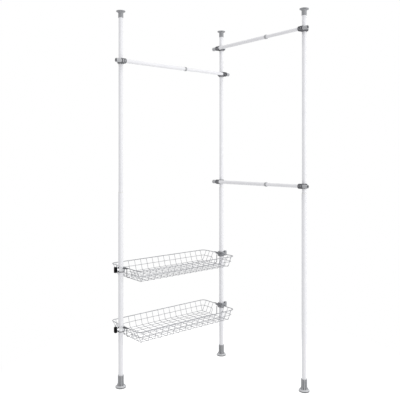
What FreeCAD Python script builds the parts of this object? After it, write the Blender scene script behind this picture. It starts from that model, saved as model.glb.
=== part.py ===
import FreeCAD, Part
import math
import os
import Sketcher

# Corner open wardrobe: three telescopic floor-to-ceiling posts, three telescopic hanging rails
# and two wire baskets. Millimetres. The origin is on the floor under the corner post, +Z is up,
# the left bay runs along -X and the right bay along -Y.

SIZES = {
    # Plan and heights
    "post_height": 2400,
    "left_bay": 860,
    "right_bay": 780,
    "left_rail_drop": 322,
    "top_rail_drop": 130,
    "mid_rail_rise": 45,
    "upper_basket_height": 760,
    "lower_basket_height": 380,
    # Clearances and cuts
    "running_gap": 0.05,
    "free_gap": 0.3,
    "cut_overrun": 2,
    # Posts
    "lower_diameter": 32,
    "lower_wall": 1.2,
    "lower_top": 1240,
    "upper_diameter": 28,
    "upper_wall": 1,
    "post_overlap": 700,
    "bush_grip": 40,
    "bush_lip": 2,
    # Feet
    "foot_diameter": 68,
    "foot_height": 77,
    "foot_lip": 6,
    "foot_flange": 6,
    "foot_flare_height": 25,
    "foot_sleeve_wall": 3.7,
    "foot_floor": 12,
    "foot_flute_radius": 1.8,
    "foot_flute_depth": 0.7,
    "foot_flute_count": 18,
    "pad_thickness": 2,
    "pad_inset": 1.5,
    "spindle_diameter": 12,
    "spindle_length": 80,
    "spindle_seat": 6,
    "thread_room": 14,
    "nut_length": 30,
    # Ceiling caps
    "cap_diameter": 58,
    "cap_height": 43,
    "cap_lip": 6,
    "cap_flare_height": 12,
    "cap_sleeve_wall": 2.4,
    "cap_top": 8,
    # Hanging rails
    "rail_diameter": 25,
    "rail_wall": 1,
    "rail_inner_diameter": 22,
    "rail_overhang": 50,
    "left_rail_tail": 40,
    "rail_overlap": 290,
    "left_rail_mouth": 504,
    "right_rail_mouth": 490,
    "collar_length": 14,
    "collar_wall": 2,
    "collar_lip": 3,
    "end_cap_flange": 4,
    "end_cap_rim": 0.6,
    "end_cap_plug": 14,
    # Cross clamps of the rails
    "clamp_height": 30,
    "clamp_wall": 5,
    "clamp_web": 4.5,
    "clamp_web_width": 30,
    "sleeve_length": 31,
    "sleeve_wall": 3.5,
    "window_width": 7,
    "window_pitch": 12.5,
    "clamp_slit": 3,
    "ear_thickness": 6,
    "ear_reach": 12,
    "ear_height": 16,
    "clamp_screw_diameter": 6,
    "clamp_screw_head": 5,
    "clamp_screw_head_diameter": 10,
    "clamp_nut_length": 5,
    "clamp_nut_diameter": 11,
    # Basket clamps and knobs
    "ring_height": 34,
    "ring_wall": 5,
    "ring_face_width": 32,
    "boss_reach": 9,
    "boss_diameter": 20,
    "knob_drop": 8,
    "knob_length": 36,
    "knob_width": 19,
    "knob_thickness": 15,
    "knob_corner": 3,
    "knob_screw_diameter": 8,
    # Hanger brackets of the baskets
    "bar_thickness": 3.5,
    "bar_height": 8,
    "bar_rise": 4,
    "bar_length": 104,
    "ledge_thickness": 5.5,
    "ledge_depth": 7,
    "ledge_length": 60,
    "leg_width": 5,
    "leg_thickness": 5,
    "leg_inset": 18,
    "leg_bend": 8,
    "toe_overhang": 4,
    # Wire baskets
    "rim_wire": 5,
    "rim_corner": 30,
    "basket_width": 342,
    "basket_depth": 73,
    "end_flare": 36,
    "side_flare": 28,
    "mesh_wire": 3,
    "cross_wire_count": 16,
    "long_wire_count": 8,
    "end_opening": 92,
    "middle_wire_share": 0.5,
}

DIRECTIONS = {
    "X": FreeCAD.Rotation(FreeCAD.Vector(0, 1, 0), 90),
    "Z": FreeCAD.Rotation(),
}
Z_AXIS = FreeCAD.Vector(0, 0, 1)


class Term:
    """A number together with the sheet expression that gives it."""

    def __init__(self, value, text):
        self.value = float(value)
        self.text = text

    def __add__(self, other):
        other = as_term(other)
        return Term(self.value + other.value, f"({self.text} + {other.text})")

    def __sub__(self, other):
        other = as_term(other)
        return Term(self.value - other.value, f"({self.text} - {other.text})")

    def __mul__(self, other):
        other = as_term(other)
        return Term(self.value * other.value, f"({self.text} * {other.text})")

    def __truediv__(self, other):
        other = as_term(other)
        return Term(self.value / other.value, f"({self.text} / {other.text})")

    def __neg__(self):
        return Term(-self.value, f"(-1 * {self.text})")


def as_term(number):
    """A plain number as a term; a term stays as it is."""
    if isinstance(number, Term):
        return number
    return Term(number, repr(number))


class SizeSheet:
    """The driving dimensions, each read by its name as a term bound to its cell."""

    def __init__(self, doc, sizes):
        self.sheet = doc.addObject("Spreadsheet::Sheet", "Sizes")
        for row, (name, value) in enumerate(sizes.items(), start=1):
            self.sheet.set(f"A{row}", name)
            self.sheet.set(f"B{row}", str(value))
            self.sheet.setAlias(f"B{row}", name)
        doc.recompute()

    def __getattr__(self, name):
        return Term(getattr(self.sheet, name), f"Sizes.{name}")


doc = FreeCAD.newDocument("corner_wardrobe")
S = SizeSheet(doc, SIZES)
NONE = as_term(0)
sub_parts = []
cuts = []


def keep(obj, label):
    """Name an object as a sub-part of the wardrobe."""
    obj.Label = label
    sub_parts.append(obj)
    return obj


def bind(obj, prop, term):
    obj.setExpression(prop, as_term(term).text)


def place(obj, x, y, z, rotation=None):
    """Put an object at a point given in terms, turned by a fixed rotation."""
    point = [as_term(value) for value in (x, y, z)]
    base = FreeCAD.Vector(*[value.value for value in point])
    obj.Placement = FreeCAD.Placement(base, rotation or FreeCAD.Rotation())
    for axis, value in zip("xyz", point):
        bind(obj, f"Placement.Base.{axis}", value)
    return obj


# Part primitives

def cylinder(name, radius, length, x=NONE, y=NONE, z=NONE, direction="Z"):
    obj = doc.addObject("Part::Cylinder", name)
    bind(obj, "Radius", radius)
    bind(obj, "Height", length)
    return place(obj, x, y, z, DIRECTIONS[direction])


def box(name, x, y, z):
    """A box from its three (low, high) pairs."""
    obj = doc.addObject("Part::Box", name)
    for prop, (low, high) in zip(("Length", "Width", "Height"), (x, y, z)):
        bind(obj, prop, high - low)
    return place(obj, x[0], y[0], z[0])


def cut(name, base, tool):
    obj = doc.addObject("Part::Cut", name)
    obj.Base = base
    obj.Tool = tool
    cuts.append((obj, base))
    return obj


def fuse(name, *pieces):
    obj = doc.addObject("Part::MultiFuse", name)
    obj.Shapes = list(pieces)
    obj.Refine = True
    return obj


def group(name, *pieces):
    obj = doc.addObject("Part::Compound", name)
    obj.Links = list(pieces)
    return obj


def tube(name, diameter, wall, length, direction="Z", start=NONE):
    """A round tube along Z, or along X from its start."""
    at = {"x": start} if direction == "X" else {"z": start}
    before = {axis: value - S.cut_overrun for axis, value in at.items()}
    outer = cylinder(name + "_outer", diameter / 2, length, direction=direction, **at)
    inner = cylinder(name + "_bore", diameter / 2 - wall, length + S.cut_overrun * 2,
                     direction=direction, **before)
    return cut(name, outer, inner)


# PartDesign bodies and sketches

def new_body(name):
    return doc.addObject("PartDesign::Body", name)


def origin_feature(body, role):
    return next(item for item in body.Origin.OriginFeatures if item.Role == role)


def new_sketch(body, name, plane, lift=NONE):
    """A sketch on one of the body's origin planes, lifted along the plane's normal."""
    sketch = body.newObject("Sketcher::SketchObject", name)
    sketch.AttachmentSupport = [(origin_feature(body, plane + "_Plane"), "")]
    sketch.MapMode = "FlatFace"
    sketch.AttachmentOffset = FreeCAD.Placement(FreeCAD.Vector(0, 0, lift.value), FreeCAD.Rotation())
    bind(sketch, "AttachmentOffset.Base.z", lift)
    return sketch


def pin_point(sketch, geometry, position, x, y):
    """Hold a sketch point at two terms measured from the sketch's origin."""
    for kind, axis, term in (("DistanceX", -2, x), ("DistanceY", -1, y)):
        if term.value == 0:
            sketch.addConstraint(Sketcher.Constraint("PointOnObject", geometry, position, axis))
            continue
        ends = [(-1, 1), (geometry, position)]
        if term.value < 0:
            ends.reverse()
            term = -term
        first, second = ends
        index = sketch.addConstraint(Sketcher.Constraint(kind, *first, *second, term.value))
        bind(sketch, f"Constraints[{index}]", term)


def arc_between(start, end, radius, side):
    """The short arc from start to end with its centre left (1) or right (-1) of the chord."""
    chord = end - start
    left = FreeCAD.Vector(-chord.y, chord.x, 0).normalize()
    rise = math.sqrt(max(radius ** 2 - (chord.Length / 2) ** 2, 0))
    centre = (start + end) / 2 + left * rise * side
    first, last = (start, end) if side > 0 else (end, start)
    angles = [math.atan2(point.y - centre.y, point.x - centre.x) for point in (first, last)]
    return Part.ArcOfCircle(Part.Circle(centre, Z_AXIS, radius), *angles)


def draw_outline(sketch, points, arcs=None):
    """A closed outline through points given in terms. arcs maps the index of the run that
    starts at a point to (radius, side)."""
    points = [(as_term(x), as_term(y)) for x, y in points]
    arcs = arcs or {}
    spots = [FreeCAD.Vector(x.value, y.value, 0) for x, y in points]
    runs = []
    for index, start in enumerate(spots):
        end = spots[(index + 1) % len(spots)]
        if index in arcs:
            radius, side = arcs[index]
            geometry = sketch.addGeometry(arc_between(start, end, radius.value, side), False)
            runs.append((geometry, 1, 2) if side > 0 else (geometry, 2, 1))
            limit = sketch.addConstraint(Sketcher.Constraint("Radius", geometry, radius.value))
            bind(sketch, f"Constraints[{limit}]", radius)
        else:
            geometry = sketch.addGeometry(Part.LineSegment(start, end), False)
            runs.append((geometry, 1, 2))
    for index, (geometry, first, last) in enumerate(runs):
        following, start, _ = runs[(index + 1) % len(runs)]
        sketch.addConstraint(Sketcher.Constraint("Coincident", geometry, last, following, start))
        pin_point(sketch, geometry, first, *points[index])
    return sketch


def draw_rectangle(sketch, x, y):
    """A rectangle from its (low, high) pairs."""
    return draw_outline(sketch, [(x[0], y[0]), (x[1], y[0]), (x[1], y[1]), (x[0], y[1])])


def draw_circle(sketch, x, y, radius):
    centre = FreeCAD.Vector(x.value, y.value, 0)
    geometry = sketch.addGeometry(Part.Circle(centre, Z_AXIS, radius.value), False)
    index = sketch.addConstraint(Sketcher.Constraint("Radius", geometry, radius.value))
    bind(sketch, f"Constraints[{index}]", radius)
    pin_point(sketch, geometry, 3, x, y)
    return sketch


def rounded_rectangle(half_x, half_y, corner):
    """Points and arcs of a rectangle with round corners about the origin, from the middle of
    its front side."""
    in_x = half_x - corner
    in_y = half_y - corner
    points = [
        (NONE, -half_y), (in_x, -half_y), (half_x, -in_y), (half_x, in_y), (in_x, half_y),
        (-in_x, half_y), (-half_x, in_y), (-half_x, -in_y), (-in_x, -half_y),
    ]
    arcs = {index: (corner, 1) for index in (1, 3, 5, 7)}
    return points, arcs


def extrude(body, kind, sketch, length, symmetric=False, flip=False):
    """A Pad or a Pocket of a sketch."""
    base = body.Tip
    feature = body.newObject("PartDesign::" + kind, sketch.Name + "_" + kind.lower())
    feature.Profile = sketch
    bind(feature, "Length", length)
    feature.SideType = "Symmetric" if symmetric else "One side"
    feature.Reversed = flip
    if kind == "Pocket":
        cuts.append((feature, base))
    return feature


def turn(body, kind, sketch):
    """A full Revolution or Groove about the sketch's vertical axis."""
    base = body.Tip
    feature = body.newObject("PartDesign::" + kind, sketch.Name + "_" + kind.lower())
    feature.Profile = sketch
    feature.ReferenceAxis = (sketch, ["V_Axis"])
    feature.Angle = 360
    if kind == "Groove":
        cuts.append((feature, base))
    return feature


def polar(body, feature, count):
    """Repeat a feature evenly about the body's Z axis."""
    doc.recompute()
    pattern = body.newObject("PartDesign::PolarPattern", feature.Name + "_pattern")
    pattern.Originals = [feature]
    pattern.Axis = (origin_feature(body, "Z_Axis"), [""])
    pattern.Angle = 360
    bind(pattern, "Occurrences", count)
    body.Tip = pattern
    return pattern


# Derived sizes that several pieces share
lower_radius = S.lower_diameter / 2
upper_radius = S.upper_diameter / 2
rail_radius = S.rail_diameter / 2
rail_inner_radius = S.rail_inner_diameter / 2
spindle_radius = S.spindle_diameter / 2
tube_foot = S.foot_floor + S.thread_room
rail_offset = upper_radius + S.clamp_web + rail_radius
ring_face = lower_radius + S.ring_wall
rim_radius = S.rim_wire / 2
rim_end_gap = ring_face + S.bar_thickness + rim_radius
rim_half_length = S.left_bay / 2 - rim_end_gap
rim_half_width = S.basket_width / 2

POSTS = {
    "left": (-S.left_bay, NONE),
    "corner": (NONE, NONE),
    "right": (NONE, -S.right_bay),
}


# Posts

def lower_tube(post):
    x, y = POSTS[post]
    obj = tube(post + "_lower", S.lower_diameter, S.lower_wall, S.lower_top - tube_foot)
    return keep(place(obj, x, y, tube_foot), post + "_lower_tube")


def upper_tube(post):
    x, y = POSTS[post]
    bottom = S.lower_top - S.post_overlap
    obj = tube(post + "_upper", S.upper_diameter, S.upper_wall, S.post_height - S.cap_top - bottom)
    return keep(place(obj, x, y, bottom), post + "_upper_tube")


def lock_bush(post):
    """Plastic collet in the mouth of the lower tube, with a lip on the tube's end."""
    x, y = POSTS[post]
    body = new_body(post + "_bush")
    sketch = new_sketch(body, post + "_bush_profile", "XZ")
    inner = upper_radius + S.running_gap
    grip = lower_radius - S.lower_wall
    draw_outline(sketch, [
        (inner, -S.bush_grip), (grip, -S.bush_grip), (grip, NONE),
        (lower_radius, NONE), (lower_radius, S.bush_lip), (inner, S.bush_lip),
    ])
    turn(body, "Revolution", sketch)
    return place(body, x, y, S.lower_top)


def spindle_nut(post):
    """Threaded plug pressed into the bottom of the lower tube."""
    x, y = POSTS[post]
    obj = tube(post + "_nut", S.lower_diameter - S.lower_wall * 2,
               lower_radius - S.lower_wall - spindle_radius - S.running_gap, S.nut_length)
    return place(obj, x, y, tube_foot)


def flare_radius(width, height):
    """Radius of a hollow flare that leaves a sleeve straight and spreads by width over height."""
    return (width * width + height * height) / (width * 2)


def foot_shell(post):
    """Fluted round sleeve that flares to the flange of a round base."""
    x, y = POSTS[post]
    name = post + "_foot"
    base = S.foot_diameter / 2
    flare_end = base - S.foot_flange
    bore = lower_radius + S.free_gap
    sleeve = bore + S.foot_sleeve_wall
    lip_top = S.pad_thickness + S.foot_lip
    flare_top = lip_top + S.foot_flare_height
    seat = S.foot_floor - S.spindle_seat
    body = new_body(name)
    profile = new_sketch(body, name + "_profile", "XZ")
    draw_outline(profile, [
        (NONE, S.pad_thickness), (base, S.pad_thickness), (base, lip_top), (flare_end, lip_top),
        (sleeve, flare_top), (sleeve, S.foot_height), (bore, S.foot_height), (bore, S.foot_floor),
        (spindle_radius, S.foot_floor), (spindle_radius, seat), (NONE, seat),
    ], {3: (flare_radius(flare_end - sleeve, S.foot_flare_height), -1)})
    turn(body, "Revolution", profile)
    flute = new_sketch(body, name + "_flute", "XY", S.foot_height)
    draw_circle(flute, sleeve + S.foot_flute_radius - S.foot_flute_depth, NONE, S.foot_flute_radius)
    groove = extrude(body, "Pocket", flute, S.foot_height - flare_top)
    polar(body, groove, S.foot_flute_count)
    return keep(place(body, x, y, NONE), post + "_foot_shell")


def foot_pad(post):
    x, y = POSTS[post]
    obj = cylinder(post + "_pad", S.foot_diameter / 2 - S.pad_inset, S.pad_thickness, x, y)
    return keep(obj, post + "_foot_pad")


def foot_spindle(post):
    x, y = POSTS[post]
    obj = cylinder(post + "_spindle", spindle_radius, S.spindle_length, x, y, S.foot_floor - S.spindle_seat)
    return keep(obj, post + "_foot_spindle")


def top_cap(post):
    """Round ceiling plate that narrows to a sleeve over the upper tube."""
    x, y = POSTS[post]
    name = post + "_cap"
    plate = S.cap_diameter / 2
    sleeve = upper_radius + S.cap_sleeve_wall
    lip = S.cap_height - S.cap_lip
    seat = S.cap_height - S.cap_top
    body = new_body(name)
    profile = new_sketch(body, name + "_profile", "XZ")
    draw_outline(profile, [
        (upper_radius, NONE), (sleeve, NONE), (sleeve, lip - S.cap_flare_height), (plate, lip),
        (plate, S.cap_height), (NONE, S.cap_height), (NONE, seat), (upper_radius, seat),
    ], {2: (flare_radius(plate - sleeve, S.cap_flare_height), -1)})
    turn(body, "Revolution", profile)
    return keep(place(body, x, y, S.post_height - S.cap_height), post + "_top_cap")


# Hanging rails. Each rail is drawn from its first post along +X, in front of the posts.

def rail_spot(first_post, along, height):
    """Where a point along a rail lies, and the turn of the rail's bay."""
    x, y = POSTS[first_post]
    if first_post == "left":
        return (x + along, y, height), FreeCAD.Rotation()
    return (x, y - along, height), FreeCAD.Rotation(Z_AXIS, -90)


def lay(obj, first_post, height):
    spot, rotation = rail_spot(first_post, NONE, height)
    return place(obj, *spot, rotation)


def on_axis(name, radius, start, end):
    """A cylinder on the rail's axis."""
    return cylinder(name, radius, end - start, start, -rail_offset, direction="X")


def rail_tube(name, diameter, start, end):
    outer = on_axis(name + "_outer", diameter / 2, start, end)
    bore = on_axis(name + "_bore", diameter / 2 - S.rail_wall, start - S.cut_overrun, end + S.cut_overrun)
    return cut(name, outer, bore)


def rail_collar(name, mouth):
    """Collar over the mouth of the outer tube, whose lip guides the inner tube."""
    start = mouth - S.collar_length
    seat_end = mouth - S.collar_lip
    shell = on_axis(name + "_shell", rail_radius + S.collar_wall, start, mouth)
    seat = on_axis(name + "_seat", rail_radius, start - S.cut_overrun, seat_end)
    guide = on_axis(name + "_guide", rail_inner_radius + S.running_gap, start, mouth + S.cut_overrun)
    return cut(name, shell, fuse(name + "_bores", seat, guide))


def rail_end_cap(name, diameter, end, outward):
    """Disc on the end of a tube with a plug inside it. outward is 1 or -1 along the rail."""
    flange_end = end + S.end_cap_flange * outward
    plug_end = end - S.end_cap_plug * outward
    low, high = (end, flange_end) if outward > 0 else (flange_end, end)
    disc = on_axis(name + "_disc", diameter / 2 + S.end_cap_rim, low, high)
    low, high = (plug_end, end) if outward > 0 else (end, plug_end)
    plug = on_axis(name + "_plug", diameter / 2 - S.rail_wall, low, high)
    return fuse(name, disc, plug)


def cross_clamp(name, first_post, along, height, diameter):
    """Clamp with a split ring on the post and a windowed sleeve on the rail in front of it."""
    sleeve = rail_radius + S.sleeve_wall
    ring = upper_radius + S.clamp_wall
    ear_tip = ring + S.ear_reach
    ear_side = S.clamp_slit / 2 + S.ear_thickness
    half_web = S.clamp_web_width / 2
    through = S.sleeve_length + S.cut_overrun * 2
    tall = sleeve * 2 + S.cut_overrun * 2
    body = new_body(name)
    ring_sketch = draw_circle(new_sketch(body, name + "_ring", "XY"), NONE, NONE, ring)
    extrude(body, "Pad", ring_sketch, S.clamp_height, symmetric=True)
    web_sketch = new_sketch(body, name + "_web", "XY")
    draw_rectangle(web_sketch, (-half_web, half_web), (-rail_offset, NONE))
    extrude(body, "Pad", web_sketch, S.clamp_height, symmetric=True)
    sleeve_sketch = draw_circle(new_sketch(body, name + "_sleeve", "YZ"), -rail_offset, NONE, sleeve)
    extrude(body, "Pad", sleeve_sketch, S.sleeve_length, symmetric=True)
    ear_sketch = new_sketch(body, name + "_ears", "XY")
    draw_rectangle(ear_sketch, (-ear_side, ear_side), (upper_radius, ear_tip))
    extrude(body, "Pad", ear_sketch, S.ear_height, symmetric=True)
    post_bore = draw_circle(new_sketch(body, name + "_post_bore", "XY"), NONE, NONE,
                            upper_radius + S.running_gap)
    extrude(body, "Pocket", post_bore, tall, symmetric=True)
    rail_bore = draw_circle(new_sketch(body, name + "_rail_bore", "YZ"), -rail_offset, NONE, diameter / 2)
    extrude(body, "Pocket", rail_bore, through, symmetric=True)
    slit = new_sketch(body, name + "_slit", "XY")
    draw_rectangle(slit, (-S.clamp_slit / 2, S.clamp_slit / 2), (upper_radius, ear_tip + S.cut_overrun))
    extrude(body, "Pocket", slit, tall, symmetric=True)
    screw_hole = draw_circle(new_sketch(body, name + "_screw_hole", "YZ"), ring + S.ear_reach / 2, NONE,
                             S.clamp_screw_diameter / 2 + S.free_gap)
    extrude(body, "Pocket", screw_hole, through, symmetric=True)
    windows = new_sketch(body, name + "_windows", "XY")
    front = -(rail_offset + sleeve + S.cut_overrun)
    for side in (-1, 1):
        middle = S.window_pitch / 2 * side
        low = middle - S.window_width / 2
        draw_rectangle(windows, (low, low + S.window_width), (front, -rail_offset))
    extrude(body, "Pocket", windows, tall, symmetric=True)
    spot, rotation = rail_spot(first_post, along, height)
    return place(body, *spot, rotation)


def clamp_screw(name, first_post, along, height):
    """Cap screw through the clamp's ears, with its nut."""
    ear_side = S.clamp_slit / 2 + S.ear_thickness
    axis_y = upper_radius + S.clamp_wall + S.ear_reach / 2
    radius = S.clamp_screw_diameter / 2
    nut_end = ear_side + S.clamp_nut_length
    shank_end = nut_end + S.cut_overrun
    shank = cylinder(name + "_shank", radius, shank_end + ear_side, -shank_end, axis_y, direction="X")
    head = cylinder(name + "_head", S.clamp_screw_head_diameter / 2, S.clamp_screw_head, ear_side, axis_y,
                    direction="X")
    screw = fuse(name + "_screw", shank, head)
    blank = cylinder(name + "_blank", S.clamp_nut_diameter / 2, S.clamp_nut_length, -nut_end, axis_y,
                     direction="X")
    thread = cylinder(name + "_thread", radius, shank_end, -shank_end, axis_y, direction="X")
    nut = cut(name + "_nut", blank, thread)
    spot, rotation = rail_spot(first_post, along, height)
    return place(group(name, screw, nut), *spot, rotation)


def rail(name, first_post, bay, tail, mouth, height):
    """One telescopic rail: its outer half belongs to the first post, its inner half to the other.

    The tail is the inner half's overhang past its post.
    """
    low_end = -S.rail_overhang
    high_end = bay + tail
    outer = rail_tube(name + "_outer", S.rail_diameter, low_end, mouth - S.collar_lip)
    inner = rail_tube(name + "_inner", S.rail_inner_diameter, mouth - S.rail_overlap, high_end)
    outer_cap = rail_end_cap(name + "_outer_cap", S.rail_diameter, low_end, -1)
    inner_cap = rail_end_cap(name + "_inner_cap", S.rail_inner_diameter, high_end, 1)
    collar = rail_collar(name + "_mouth", mouth)
    for obj in (outer, inner, outer_cap, inner_cap, collar):
        lay(obj, first_post, height)
    keep(outer, name + "_outer_tube")
    keep(inner, name + "_inner_tube")
    keep(collar, name + "_collar")
    ends = {
        "first": (outer_cap, NONE, S.rail_diameter),
        "second": (inner_cap, bay, S.rail_inner_diameter),
    }
    pieces = {}
    for end, (cap, along, diameter) in ends.items():
        clamp = cross_clamp(f"{name}_{end}_cross", first_post, along, height, diameter)
        screw = clamp_screw(f"{name}_{end}_bolt", first_post, along, height)
        pieces[end] = (cap, clamp, screw)
    return pieces


def left_rail():
    """The left bay's rail moves as one piece, so its paired pieces share nodes."""
    height = S.post_height - S.left_rail_drop
    pieces = rail("left_rail", "left", S.left_bay, S.left_rail_tail, S.left_rail_mouth, height)
    for index, kind in enumerate(("end_caps", "clamps", "clamp_screws")):
        pair = group("left_rail_" + kind, pieces["first"][index], pieces["second"][index])
        keep(pair, "left_rail_" + kind)


def right_rail(name, height):
    pieces = rail(name, "corner", S.right_bay, S.rail_overhang, S.right_rail_mouth, height)
    for end, post in (("first", "corner"), ("second", "right")):
        for obj, kind in zip(pieces[end], ("end_cap", "clamp", "clamp_screw")):
            keep(obj, f"{name}_{post}_{kind}")


# Basket clamps. Each is drawn with the basket towards +X and the knob towards -X.

BASKET_ENDS = {
    "left": FreeCAD.Rotation(),
    "corner": FreeCAD.Rotation(Z_AXIS, 180),
}
KNOB_TURNS = {
    "left": FreeCAD.Rotation(FreeCAD.Vector(0, 1, 0), -90),
    "corner": FreeCAD.Rotation(FreeCAD.Vector(0, 1, 0), 90),
}
OUTWARD = {"left": -1, "corner": 1}


def clamp_ring(name, post, height):
    """Ring on the post with a flat face for the bracket and a boss for the knob's screw."""
    x, y = POSTS[post]
    half_face = S.ring_face_width / 2
    boss_end = ring_face + S.boss_reach
    body = new_body(name)
    ring = draw_circle(new_sketch(body, name + "_ring", "XY"), NONE, NONE, ring_face)
    extrude(body, "Pad", ring, S.ring_height, symmetric=True)
    face = new_sketch(body, name + "_face", "XY")
    draw_rectangle(face, (NONE, ring_face), (-half_face, half_face))
    extrude(body, "Pad", face, S.ring_height, symmetric=True)
    boss = draw_circle(new_sketch(body, name + "_boss", "YZ"), NONE, NONE, S.boss_diameter / 2)
    extrude(body, "Pad", boss, boss_end, flip=True)
    bore = draw_circle(new_sketch(body, name + "_bore", "XY"), NONE, NONE, lower_radius + S.running_gap)
    extrude(body, "Pocket", bore, S.ring_height + S.cut_overrun * 2, symmetric=True)
    hole = draw_circle(new_sketch(body, name + "_hole", "YZ"), NONE, NONE,
                       S.knob_screw_diameter / 2 + S.running_gap)
    extrude(body, "Pocket", hole, boss_end + S.cut_overrun)
    return place(body, x, y, height - S.knob_drop, BASKET_ENDS[post])


def knob(name, post, height):
    """Bar grip, upright at rest, with its clamp screw, which ends just short of the post."""
    x, y = POSTS[post]
    back = ring_face + S.boss_reach + S.free_gap
    body = new_body(name)
    grip = new_sketch(body, name + "_grip", "XY")
    draw_outline(grip, *rounded_rectangle(S.knob_length / 2, S.knob_width / 2, S.knob_corner))
    extrude(body, "Pad", grip, S.knob_thickness)
    shank = draw_circle(new_sketch(body, name + "_shank", "XY"), NONE, NONE, S.knob_screw_diameter / 2)
    extrude(body, "Pad", shank, back - lower_radius - S.free_gap, flip=True)
    place(body, x + back * OUTWARD[post], y, height - S.knob_drop, KNOB_TURNS[post])
    return keep(body, name)


def bent_leg(name):
    """Rod that runs in under the rim, bends down through the opening of the end wall and bends in
    again to a toe over the end wire of the floor."""
    bend = S.leg_bend
    wide = bend + S.leg_thickness
    near = rim_end_gap + S.leg_inset - S.leg_thickness / 2
    far = near + S.leg_thickness
    top = -rim_radius
    under = top - S.leg_thickness
    sole = S.mesh_wire / 2 - S.basket_depth
    toe_top = sole + S.leg_thickness
    tip = rim_end_gap + S.end_flare + S.toe_overhang
    body = new_body(name)
    sketch = new_sketch(body, name + "_outline", "XZ")
    draw_outline(sketch, [
        (ring_face, under), (near - bend, under), (near, under - bend), (near, sole + wide),
        (near + wide, sole), (tip, sole), (tip, toe_top), (far + bend, toe_top), (far, toe_top + bend),
        (far, top - wide), (far - wide, top), (ring_face, top),
    ], {1: (bend, -1), 3: (wide, 1), 7: (bend, -1), 9: (wide, 1)})
    extrude(body, "Pad", sketch, S.leg_width, symmetric=True)
    return body


def bracket(name, post, height):
    """Bar outside the rim's end, a ledge under the rim, and a bent leg that holds the floor."""
    x, y = POSTS[post]
    face_end = ring_face + S.bar_thickness
    ledge = (ring_face, face_end + S.ledge_depth)
    ledge_top = -rim_radius
    bar_bottom = S.bar_rise - S.bar_height
    half_bar = S.bar_length / 2
    half_ledge = S.ledge_length / 2
    pieces = [
        box(name + "_bar", (ring_face, face_end), (-half_bar, half_bar), (bar_bottom, S.bar_rise)),
        box(name + "_ledge", ledge, (-half_ledge, half_ledge), (ledge_top - S.ledge_thickness, ledge_top)),
        bent_leg(name + "_leg"),
    ]
    return place(fuse(name, *pieces), x, y, height, BASKET_ENDS[post])


# Wire baskets, drawn about the middle of the rim

def rim(name, height):
    """Round wire bent to a rounded rectangle, with its ends welded in the middle of the front."""
    body = new_body(name + "_rim")
    path = new_sketch(body, name + "_rim_path", "XY")
    draw_outline(path, *rounded_rectangle(rim_half_length, rim_half_width, S.rim_corner))
    section = draw_circle(new_sketch(body, name + "_rim_section", "YZ"), -rim_half_width, NONE, rim_radius)
    pipe = body.newObject("PartDesign::AdditivePipe", name + "_rim_pipe")
    pipe.Profile = section
    pipe.Spine = (path, [f"Edge{index + 1}" for index in range(path.GeometryCount)])
    pipe.Transition = "Round corner"
    return keep(place(body, -S.left_bay / 2, NONE, height), name + "_rim")


def spread(half, count):
    """Evenly spaced places from -half to half."""
    return [half * (2 * index / (count - 1) - 1) for index in range(count)]


def bars(boxes):
    """Welded wires as one solid, from (low, high) pairs in x, y and z."""
    solids = []
    for low, high in boxes:
        size = [top - bottom for bottom, top in zip(low, high)]
        solids.append(Part.makeBox(*size, FreeCAD.Vector(*low)))
    return solids[0].multiFuse(solids[1:]).removeSplitter()


class Mesh:
    """Sizes of a basket's mesh, read from the sheet."""
    wire = S.mesh_wire.value
    half = wire / 2
    depth = S.basket_depth.value
    floor_top = -depth + half
    floor_x = rim_half_length.value - S.end_flare.value + wire
    floor_y = rim_half_width.value - S.side_flare.value + wire
    cross_x = spread(floor_x - half, int(S.cross_wire_count.value))
    long_y = spread(floor_y - half, int(S.long_wire_count.value))
    opening = S.end_opening.value / 2


def floor_mesh():
    """Cross wires and long wires welded in one layer."""
    low_z = Mesh.floor_top - Mesh.wire
    boxes = []
    for x in Mesh.cross_x:
        boxes.append(((x - Mesh.half, -Mesh.floor_y, low_z), (x + Mesh.half, Mesh.floor_y, Mesh.floor_top)))
    for y in Mesh.long_y:
        boxes.append(((-Mesh.floor_x, y - Mesh.half, low_z), (Mesh.floor_x, y + Mesh.half, Mesh.floor_top)))
    return bars(boxes)


def lean(flare):
    """A wall's lean, its slant length below the rim wire and its foot's height and inset."""
    angle = math.atan(flare / Mesh.depth)
    foot = Mesh.floor_top + Mesh.half * math.sin(angle)
    slant = -foot / math.cos(angle) - rim_radius.value
    return math.degrees(angle), slant, foot, -foot * math.tan(angle)


def upright(across, slant, top=1):
    """A wall wire across the wall's width at one place, up to a share of the slant."""
    return ((across - Mesh.half, -Mesh.half, 0), (across + Mesh.half, Mesh.half, slant * top))


def level(start, end, slant):
    """The wall's middle wire between two places."""
    middle = slant * S.middle_wire_share.value
    return ((start, -Mesh.half, middle - Mesh.half), (end, Mesh.half, middle + Mesh.half))


def stand(shape, x, y, z, turn_degrees, lean_degrees):
    """Lean a flat wall outward, turn it about Z and stand it on the floor mesh."""
    tilt = FreeCAD.Rotation(FreeCAD.Vector(1, 0, 0), lean_degrees)
    facing = FreeCAD.Rotation(Z_AXIS, turn_degrees)
    wall = shape.copy()
    wall.Placement = FreeCAD.Placement(FreeCAD.Vector(x, y, z), facing.multiply(tilt))
    return wall


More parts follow.
